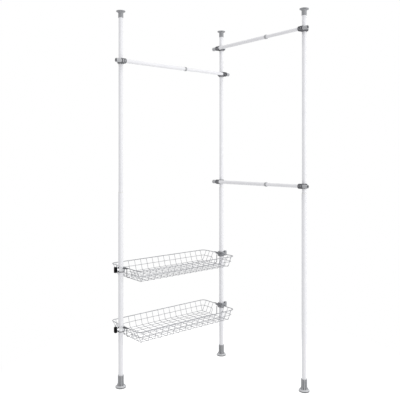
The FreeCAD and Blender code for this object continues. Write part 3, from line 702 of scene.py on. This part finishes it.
def end_cap(tube_radius, flange_radius, skirt):
    """Cap with a sunk face, whose grey skirt slips over the tube's end and partly paints the shade on the
    tube's stub; its rim ends at height CAP_FLANGE.
    """
    plug = tube_radius - RAIL_WALL
    cover = tube_radius + CAP_SKIRT
    brim = flange_radius - CAP_BRIM
    # The grey skirt over the tube's stub is partly painted shade on the stub.
    outline = [
        (0, -CAP_PLUG), (plug, -CAP_PLUG, SOFT_EDGE), (plug, 0), (tube_radius, 0), (tube_radius, -skirt),
        (cover, -skirt, CAP_SKIRT / 3), (cover, 0), (flange_radius, CAP_SKIRT / 3),
        (flange_radius, CAP_FLANGE, SOFT_EDGE), (brim, CAP_FLANGE, SOFT_EDGE),
        (brim - CAP_BRIM / 2, CAP_FLANGE - CAP_SINK, SOFT_EDGE), (0, CAP_FLANGE - CAP_SINK),
    ]
    return turned(soften(outline))


def painted_shade_disc(flange_radius):
    """Dark disc on the sunk face of an end cap: painted shade in the cap's recess."""
    radius = flange_radius - 2 * CAP_BRIM
    floor = CAP_FLANGE - CAP_SINK
    top = floor + SHADE_DISC_THICKNESS
    return turned(soften([(0, floor), (radius, floor), (radius, top, SHADE_DISC_THICKNESS / 3), (0, top)], steps=3))


def rail_end(steel, flange_radius, outward, post):
    """Cap and dark shade disc for the end of a rail's tube. The cap's skirt ends at the clamp on the post."""
    start, length = rail_line(steel, outward)
    end = start + outward * length
    skirt = (end - axis_of(post + "_lower_tube")).dot(outward) - CLAMP_SLEEVE / 2 - SKIRT_GAP
    spot = aim(end, outward)
    return (end_cap(size_of(steel).z / 2, flange_radius, skirt), spot), (painted_shade_disc(flange_radius), spot)


def bolt_parts():
    """Socket-head cap screw and hexagon nut on one axis; the head is at +Z and the ears between them."""
    chamfer = BOLT_CHAMFER

    def socket(radius, height, angle):
        if radius < SOCKET_WIDTH * SOCKET_LIMIT_SHARE:
            return hexagon_reach(angle, SOCKET_WIDTH)
        return radius

    floor = BOLT_HEAD - SOCKET_DEPTH
    head = turned(soften([
        (0, 0), (HEAD_RADIUS, 0, chamfer / 2), (HEAD_RADIUS, BOLT_HEAD, chamfer),
        (SOCKET_WIDTH / 2, BOLT_HEAD), (SOCKET_WIDTH / 2, floor), (0, floor - chamfer),
    ], steps=3), reach=socket)

    def flats(radius, height, angle):
        if radius <= BOLT_RADIUS:
            return radius
        return min(radius, hexagon_reach(angle, NUT_WIDTH))

    corner = NUT_WIDTH * NUT_CORNER_SHARE
    nut = turned([
        (BOLT_RADIUS, 0), (NUT_WIDTH / 2, 0), (corner, chamfer), (corner, NUT_LENGTH - chamfer),
        (NUT_WIDTH / 2, NUT_LENGTH), (BOLT_RADIUS, NUT_LENGTH),
    ], reach=flats)
    shank_length = 2 * EAR_SIDE + NUT_LENGTH + SHANK_PAST_NUT
    shank = threaded(BOLT_RADIUS, BOLT_PITCH, shank_length, BOLT_SIDES)
    lifts = ((head, EAR_SIDE), (nut, -EAR_SIDE - NUT_LENGTH), (shank, EAR_SIDE - shank_length))
    return joined([(shape, Matrix.Translation((0, 0, lift))) for shape, lift in lifts])


bolt = bolt_parts()


def bolts(node, along, body, name, count=1, step=(0, 0, 0)):
    """The clamp bolts of a body, set through the clamps' ears by the row tree."""
    low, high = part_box(node)
    across = (low + high) / 2
    head_end = high if along.x > 0 else low
    middle = across + along * (head_end - across).dot(along)
    middle -= along * ((count - 1) * Vector(step).length + EAR_SIDE + BOLT_HEAD)
    source = bpy.data.meshes.new(name)
    bolt.to_mesh(source)
    source.transform(aim(middle, along))
    shape = grown(source, bolt_row, Count=count, Step=step, Material=zinc_plate)
    piece(name, [(shape, Matrix.Identity(4))], zinc_plate, body, "zinc_steel", node)


def clamps(node, body, name):
    """Cross clamps of a body, with softened edges."""
    piece(name, [(moulded(node, CLAMP_EDGE), Matrix.Identity(4))], filled_nylon, body, "dark_plastic", node)


LEFT_WAY = Vector((1, 0, 0))
RIGHT_WAY = Vector((0, -1, 0))


def left_rail():
    """The left bay's rail. Its two halves are one body, so its caps, clamps and bolts come in pairs."""
    body = "left_rail"
    rail_tube("left_rail_outer_tube", LEFT_WAY, body, "left_rail_outer_steel")
    rail_tube("left_rail_inner_tube", LEFT_WAY, body, "left_rail_inner_steel")
    collar("left_rail_collar", LEFT_WAY, body, "left_rail_inner_tube", "left_rail_outer_tube")
    clamps("left_rail_clamps", body, "left_rail_clamp_mouldings")
    outer_radius = size_of("left_rail_outer_tube").z / 2
    inner_radius = size_of("left_rail_inner_tube").z / 2
    rim = size_of("left_rail_end_caps").z / 2 - outer_radius
    ends = [
        rail_end("left_rail_outer_tube", outer_radius + rim, -LEFT_WAY, "left"),
        rail_end("left_rail_inner_tube", inner_radius + rim, LEFT_WAY, "corner"),
    ]
    caps, shade_discs = zip(*ends)
    # The dark discs paint the shade in the caps' recesses.
    piece("left_rail_cap_shade_discs", shade_discs, filled_nylon, body, "dark_plastic")
    piece("left_rail_cap_mouldings", caps, pale_abs, body, "grey_plastic", "left_rail_end_caps")
    bay = axis_of("corner_lower_tube") - axis_of("left_lower_tube")
    bolts("left_rail_clamp_screws", LEFT_WAY, body, "left_rail_clamp_bolts", count=2, step=tuple(bay))


def right_rail(rail):
    """A rail of the right bay, whose halves slide in one another with the bay's width."""
    outer_tube = rail + "_outer_tube"
    inner_tube = rail + "_inner_tube"
    outer_body = rail + "_outer_half"
    inner_body = rail + "_inner_half"
    rail_tube(outer_tube, RIGHT_WAY, outer_body, rail + "_outer_steel")
    rail_tube(inner_tube, RIGHT_WAY, inner_body, rail + "_inner_steel")
    collar(rail + "_collar", RIGHT_WAY, outer_body, inner_tube, outer_tube)
    ends = {
        "corner": (outer_body, outer_tube, -RIGHT_WAY),
        "right": (inner_body, inner_tube, RIGHT_WAY),
    }
    for post, (body, steel, outward) in ends.items():
        name = f"{rail}_{post}"
        clamps(name + "_clamp", body, name + "_clamp_moulding")
        bolts(name + "_clamp_screw", RIGHT_WAY, body, name + "_clamp_bolt")
        cap, plug = rail_end(steel, size_of(name + "_end_cap").z / 2, outward, post)
        piece(name + "_cap_moulding", [cap], pale_abs, body, "grey_plastic", name + "_end_cap")
        # The dark disc paints the shade in the cap's recess.
        piece(name + "_cap_shade_disc", [plug], filled_nylon, body, "dark_plastic")


left_rail()
right_rail("right_top_rail")
right_rail("right_mid_rail")


# Wire baskets

CROSS_WIRES = 16
LONG_WIRES = 8
RIM_CORNER = 30 * mm
WIRE_BEND = 12 * mm
MIDDLE_BEND = 18 * mm
END_OPENING = 46 * mm
WELD_SHARE = 0.8
WELD_DEPTH_SHARE = 0.5
END_WIRE_SHARE = 1.6
SIDE_WIRE_SHARE = 1.8
RAISED_WIRE_SHARE = 1.1
BAR_THICKNESS = 3.5 * mm
BAR_HEIGHT = 8 * mm
BAR_RISE = 4 * mm
BAR_END = 3.5 * mm
LEDGE_LENGTH = 60 * mm
LEDGE_DEPTH = 10.5 * mm
LEDGE_HEIGHT = 5.5 * mm
LEG_RADIUS = 2.5 * mm
LEG_INSET = 18 * mm
LEG_BEND = 10.5 * mm
TOE_REACH = 5.5 * mm
RING_WALL = 5 * mm
RING_SHADED_LINING = 5 * mm
RING_PLAY = 0.05 * mm
RING_SIDES = 64
SADDLE_WIDTH = 32 * mm
SADDLE_STEPS = 12
BOSS_RADIUS = 10 * mm
KNOB_THICKNESS = 15 * mm
KNOB_CORNER = 3 * mm
KNOB_EDGE = 0.9 * mm
KNOB_BORDER = 1.2 * mm
KNOB_SINK = 0.8 * mm
KNOB_SCREW_RADIUS = 4 * mm
KNOB_PITCH = 1.25 * mm
KNOB_LOOKS = {"left": (black_phenolic, "black_plastic"), "corner": (grey_abs, "grey_plastic")}
POST_ENDS = {"left": 1, "corner": -1}


def basket_wires(basket):
    """Rim, the wires bent across and along the basket, and the middle wire round its walls."""
    low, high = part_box(basket + "_rim")
    middle = (low + high) / 2
    rim = (high.z - low.z) / 2
    half_length = (high.x - low.x) / 2 - rim
    half_width = (high.y - low.y) / 2 - rim
    floor_low, floor_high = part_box(basket + "_floor")
    wire = (floor_high.z - floor_low.z) / 2
    floor = (floor_high.z + floor_low.z) / 2 - middle.z
    foot_x = (floor_high.x - floor_low.x) / 2 - wire
    foot_y = (floor_high.y - floor_low.y) / 2 - wire
    weld = 2 * wire * WELD_SHARE
    deck = floor + weld
    spot = Matrix.Translation(middle)
    corners = ((-half_length, -half_width, 0), (half_length, -half_width, 0),
               (half_length, half_width, 0), (-half_length, half_width, 0))
    rim_shape = wires(corners, rim, RIM_CORNER, plated_wire, closed=True)
    piece(basket + "_rim_wire", [(rim_shape, spot)], plated_wire, basket, "chrome_wire", basket + "_rim")

    def wall_top(half, foot, base):
        """Where a wall wire ends, welded into the underside of the rim."""
        rise = Vector((half - foot, -base)).normalized()
        return Vector((half, 0)) - rise * rim * (1 - WELD_DEPTH_SHARE)

    # The wires lie inside the bends of the wires that carry them
    end_wire = foot_x - wire * END_WIRE_SHARE
    top = wall_top(half_width, foot_y, floor)
    path = [(-end_wire, -top.x, top.y), (-end_wire, -foot_y, floor), (-end_wire, foot_y, floor),
            (-end_wire, top.x, top.y)]
    pitch = 2 * end_wire / (CROSS_WIRES - 1)
    shapes = [wires(path, wire, WIRE_BEND, plated_wire, CROSS_WIRES, (pitch, 0, 0))]
    top = wall_top(half_length, foot_x, deck)
    pitch = 2 * foot_y / (LONG_WIRES - 1)
    side = foot_y - wire * SIDE_WIRE_SHARE
    raised = deck + wire * RAISED_WIRE_SHARE
    for start, gap, level in ((-side, 2 * side, raised), (pitch - foot_y, pitch, deck),
                              (foot_y - 2 * pitch, pitch, deck)):
        path = [(-top.x, start, top.y), (-foot_x, start, level), (foot_x, start, level),
                (top.x, start, top.y)]
        shapes.append(wires(path, wire, WIRE_BEND, plated_wire, count=2, step=(0, gap, 0)))
    path = [(-foot_x, -pitch / 2, deck), (foot_x, -pitch / 2, deck)]
    shapes.append(wires(path, wire, WIRE_BEND, plated_wire, count=2, step=(0, pitch, 0)))
    wall_x = (half_length + foot_x) / 2 + weld
    wall_y = (half_width + foot_y) / 2 + weld
    for hand in (-1, 1):
        near, far = END_OPENING * hand, wall_y * hand
        path = [(-foot_x, near, floor + wire), (-wall_x, near, floor / 2), (-wall_x, far, floor / 2),
                (wall_x, far, floor / 2), (wall_x, near, floor / 2), (foot_x, near, floor + wire)]
        shapes.append(wires(path, wire, MIDDLE_BEND, plated_wire))
    piece(basket + "_mesh_wires", [(shape, spot) for shape in shapes], plated_wire, basket, "chrome_wire",
          basket + "_floor", basket + "_walls")


def basket_brackets(basket):
    """Flat bar across each end of the rim, a ledge under it and a bent leg that holds the floor."""
    low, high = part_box(basket + "_brackets")
    top = high.z
    rim_level = top - BAR_RISE
    half_bar = (high.y - low.y) / 2
    bar = slab(rectangle(-half_bar, 0, half_bar, BAR_HEIGHT, BAR_END), BAR_THICKNESS, SOFT_EDGE)
    half_ledge = LEDGE_LENGTH / 2
    ledge = slab(rectangle(-half_ledge, 0, half_ledge, LEDGE_HEIGHT), LEDGE_DEPTH, SOFT_EDGE)
    rim_low, rim_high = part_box(basket + "_rim")
    rim_radius = (rim_high.z - rim_low.z) / 2
    ledge_bottom = rim_level - rim_radius - LEDGE_HEIGHT
    leg_top = rim_level - rim_radius - LEG_RADIUS
    toe_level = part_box(basket + "_floor")[1].z + LEG_RADIUS
    toe_reach = (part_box(basket + "_floor")[0].x - low.x) + TOE_REACH
    shapes = []
    for post, inward in POST_ENDS.items():
        face = low.x if inward > 0 else high.x
        rim_end = (rim_low.x + rim_radius) if inward > 0 else (rim_high.x - rim_radius)
        turn = Matrix(((0, 0, inward), (inward, 0, 0), (0, 1, 0))).to_4x4()
        shapes.append((bar, Matrix.Translation((face, 0, top - BAR_HEIGHT)) @ turn))
        shapes.append((ledge, Matrix.Translation((face, 0, ledge_bottom)) @ turn))
        leg_x = rim_end + LEG_INSET * inward
        path = [(face + BAR_THICKNESS * inward, 0, leg_top), (leg_x, 0, leg_top), (leg_x, 0, toe_level),
                (face + toe_reach * inward, 0, toe_level)]
        shapes.append((wires(path, LEG_RADIUS, LEG_BEND, dark_enamel), Matrix.Identity(4)))
    piece(basket + "_hangers", shapes, dark_enamel, basket, "dark_steel", basket + "_brackets")


def ring_shapes(height):
    """Band on its plastic lining, which is dark and also paints the shade under the ring's lower edge, and
    the flat-faced saddle on the basket's side.
    """
    bore = size_of("left_lower_tube").x / 2 + RING_PLAY
    outer = bore - RING_PLAY + RING_WALL
    half = height / 2
    seam = RING_SHADED_LINING - half

    def hoop(low, high):
        """Ring between two heights."""
        return turned(soften([
            (bore, low, SOFT_EDGE / 2), (outer, low, SOFT_EDGE), (outer, high, SOFT_EDGE),
            (bore, high, SOFT_EDGE / 2),
        ]), RING_SIDES)

    seat = outer - RING_WALL / 2
    reach = math.asin(SADDLE_WIDTH / 2 / seat)
    plan = [(outer, -SADDLE_WIDTH / 2), (outer, SADDLE_WIDTH / 2)]
    for step in range(SADDLE_STEPS + 1):
        angle = reach * (1 - 2 * step / SADDLE_STEPS)
        plan.append((seat * math.cos(angle), seat * math.sin(angle)))
    saddle = slab(plan, height, SOFT_EDGE / 2)
    return hoop(seam, half), hoop(-half, seam), saddle, outer


def basket_rings(basket):
    """Clamp bands on dark linings, which also paint the shade under each ring's lower edge. The left band is
    chromed on a cast saddle; at the corner the band and boss take zinc grey and the saddle dark enamel, as
    painted shade.
    """
    node = basket + "_clamp_rings"
    low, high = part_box(node)
    height = high.z - low.z
    level = (low.z + high.z) / 2
    band, shaded_lining, saddle, outer = ring_shapes(height)
    chromed = []
    cast_and_corner_shade = []
    corner_saddle_shade = []
    shaded_linings = []
    for post, inward in POST_ENDS.items():
        axis = axis_of(post + "_lower_tube")
        spot = Vector((axis.x, axis.y, level))
        boss_end = abs((low.x if inward > 0 else high.x) - axis.x)
        boss_start = outer - RING_WALL / 2
        boss = turned(soften([
            (KNOB_SCREW_RADIUS, boss_start), (BOSS_RADIUS, boss_start), (BOSS_RADIUS, boss_end, SOFT_EDGE),
            (KNOB_SCREW_RADIUS, boss_end, SOFT_EDGE / 2),
        ]))
        # At the corner the band and boss take zinc grey instead of chrome, as painted shade.
        skin = chromed if post == "left" else cast_and_corner_shade
        skin.append((band, Matrix.Translation(spot)))
        skin.append((boss, aim(spot, (-inward, 0, 0))))
        # The dark lower lining also paints the shade under the ring's lower edge.
        shaded_linings.append((shaded_lining, Matrix.Translation(spot)))
        facing = Matrix.Rotation(0 if inward > 0 else math.pi, 4, "Z")
        # The corner saddle takes dark enamel as painted shade.
        saddles = cast_and_corner_shade if post == "left" else corner_saddle_shade
        saddles.append((saddle, Matrix.Translation(spot - Vector((0, 0, height / 2))) @ facing))
    piece(basket + "_post_bands", chromed, polished_chrome, basket, "chrome_steel", node)
    piece(basket + "_left_saddle_and_corner_band_shade", cast_and_corner_shade, cast_zinc, basket, "chrome_steel", node)
    piece(basket + "_corner_saddle_shade", corner_saddle_shade, dark_enamel, basket, "dark_steel", node)
    piece(basket + "_post_shaded_linings", shaded_linings, filled_nylon, basket, "dark_plastic")


def knob_grip(width, length):
    """Bar with a sunk panel in its outer face; its back is at height zero."""
    outline = rectangle(-width / 2, -length / 2, width / 2, length / 2, KNOB_CORNER)
    shape = slab(outline, KNOB_THICKNESS, KNOB_EDGE)
    face = max(shape.faces, key=lambda part: part.calc_center_median().z * part.calc_area())
    bmesh.ops.inset_region(shape, faces=[face], thickness=KNOB_BORDER)
    bmesh.ops.inset_region(shape, faces=[face], thickness=KNOB_SINK, depth=-KNOB_SINK)
    return shape


def basket_knobs(basket):
    """Grips with their screws, black at the left post and grey at the corner."""
    for post, inward in POST_ENDS.items():
        node = f"{basket}_{post}_knob"
        low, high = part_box(node)
        outward = Vector((-inward, 0, 0))
        middle = (low + high) / 2
        tip = Vector((high.x if inward > 0 else low.x, middle.y, middle.z))
        shank = (high.x - low.x) - KNOB_THICKNESS
        grip = knob_grip(high.y - low.y, high.z - low.z)
        material, slot = KNOB_LOOKS[post]
        piece(node + "_grip", [(grip, aim(tip + outward * shank, outward))], material, node, slot, node)
        screw = threaded(KNOB_SCREW_RADIUS, KNOB_PITCH, shank + KNOB_EDGE)
        piece(node + "_screw", [(screw, aim(tip, outward))], zinc_plate, node, "zinc_steel")


for basket in ("upper_basket", "lower_basket"):
    basket_wires(basket)
    basket_brackets(basket)
    basket_rings(basket)
    basket_knobs(basket)


# Camera, at the photograph's height and angle. It looks level, and the shifts place the picture.

IMAGE_WIDTH = 400
HORIZON_ROW = 156.8
SIDE_SHIFT = -0.2
SENSOR_WIDTH = 36
LENS = 47.387
CAMERA_SPOT = (-2.6049, -2.9166, 1.4693)
CAMERA_TURN = (math.radians(90), 0, math.radians(-39.47))

camera_data = bpy.data.cameras.new("camera")
camera_data.sensor_width = SENSOR_WIDTH
camera_data.lens = LENS
camera_data.shift_x = SIDE_SHIFT / IMAGE_WIDTH
camera_data.shift_y = (HORIZON_ROW - IMAGE_WIDTH / 2) / IMAGE_WIDTH
camera = bpy.data.objects.new("camera", camera_data)
camera.location = CAMERA_SPOT
camera.rotation_euler = CAMERA_TURN
scene.collection.objects.link(camera)
scene.camera = camera


# White room: the camera, metal and glass see plain white, and the floor keeps a faint shadow

WHITE = linear("#FFFFFF")
AMBIENT = 0.77
FLOOR_REACH = 30
FLOOR_LEVEL = -0.3 * mm
FLOOR_COLOUR = "#F0F0F0"
FLOOR_GLOW = 0.5
SHADOW_REACH = 0.7
FADE_REACH = 1.5
OBJECT_MIDDLE = (-0.4, -0.4, 1.2)
SOFT_BOX = 3
KEY_SPOT = (2.2, -6, 2.2)
KEY_POWER = 112
OVERHEAD_SPOT = (-0.3, -1.2, 6.5)
OVERHEAD_POWER = 45


def seen_directly(tree):
    """1 for rays from the camera, and for mirror and glass rays."""
    rays = add(tree, "ShaderNodeLightPath").outputs
    bright = add(tree, "ShaderNodeMath", {0: rays["Is Camera Ray"], 1: rays["Is Glossy Ray"]},
                 operation="MAXIMUM").outputs[0]
    return add(tree, "ShaderNodeMath", {0: bright, 1: rays["Is Transmission Ray"]},
               operation="MAXIMUM").outputs[0]


def white_world():
    """World that looks plain white, and gives a little less light than that."""
    world = bpy.data.worlds.new("white_studio")
    world.use_nodes = True
    tree = world.node_tree
    tree.nodes.clear()
    soft = add(tree, "ShaderNodeBackground", {"Color": WHITE, "Strength": AMBIENT})
    plain = add(tree, "ShaderNodeBackground", {"Color": WHITE, "Strength": 1})
    sky = add(tree, "ShaderNodeMixShader", {0: seen_directly(tree), 1: soft.outputs[0], 2: plain.outputs[0]})
    add(tree, "ShaderNodeOutputWorld", {"Surface": sky.outputs[0]})
    scene.world = world


def floor_paint():
    """Pale matt paint that glows. It fades to plain white past the object's shadow."""
    paint = bpy.data.materials.new("pale_studio_floor")
    paint.use_nodes = True
    tree = paint.node_tree
    tree.nodes.clear()
    matt = add(tree, "ShaderNodeBsdfDiffuse", {"Color": linear(FLOOR_COLOUR)})
    glow = add(tree, "ShaderNodeEmission", {"Color": WHITE, "Strength": FLOOR_GLOW})
    lifted = add(tree, "ShaderNodeAddShader", {0: matt.outputs[0], 1: glow.outputs[0]})
    plain = add(tree, "ShaderNodeEmission", {"Color": WHITE, "Strength": 1})
    spot = add(tree, "ShaderNodeTexCoord").outputs["Object"]
    middle = (OBJECT_MIDDLE[0], OBJECT_MIDDLE[1], 0)
    away = add(tree, "ShaderNodeVectorMath", {0: spot, 1: middle}, operation="DISTANCE").outputs["Value"]
    far = add(tree, "ShaderNodeMapRange", {
        "Value": away, "From Min": SHADOW_REACH, "From Max": FADE_REACH,
    }).outputs["Result"]
    faded = add(tree, "ShaderNodeMixShader", {0: far, 1: lifted.outputs[0], 2: plain.outputs[0]})
    shown = add(tree, "ShaderNodeMixShader", {
        0: seen_directly(tree), 1: matt.outputs[0], 2: faded.outputs[0],
    })
    add(tree, "ShaderNodeOutputMaterial", {"Surface": shown.outputs[0]})
    return paint


def lay_floor():
    """Wide floor just under the feet."""
    signs = ((-1, -1), (1, -1), (1, 1), (-1, 1))
    corners = [(x * FLOOR_REACH, y * FLOOR_REACH, FLOOR_LEVEL) for x, y in signs]
    mesh = bpy.data.meshes.new("studio_floor")
    mesh.from_pydata(corners, [], [(0, 1, 2, 3)])
    mesh.materials.append(floor_paint())
    studio_floor = bpy.data.objects.new("studio_floor", mesh)
    scene.collection.objects.link(studio_floor)


def lamp(name, spot, power):
    """Square soft box that looks at the object's middle."""
    data = bpy.data.lights.new(name, "AREA")
    data.size = SOFT_BOX
    data.energy = power
    made = bpy.data.objects.new(name, data)
    made.matrix_world = aim(spot, Vector(spot) - Vector(OBJECT_MIDDLE))
    scene.collection.objects.link(made)


white_world()
lay_floor()
lamp("key_soft_box", KEY_SPOT, KEY_POWER)
lamp("overhead_soft_box", OVERHEAD_SPOT, OVERHEAD_POWER)

scene.view_settings.view_transform = "Standard"
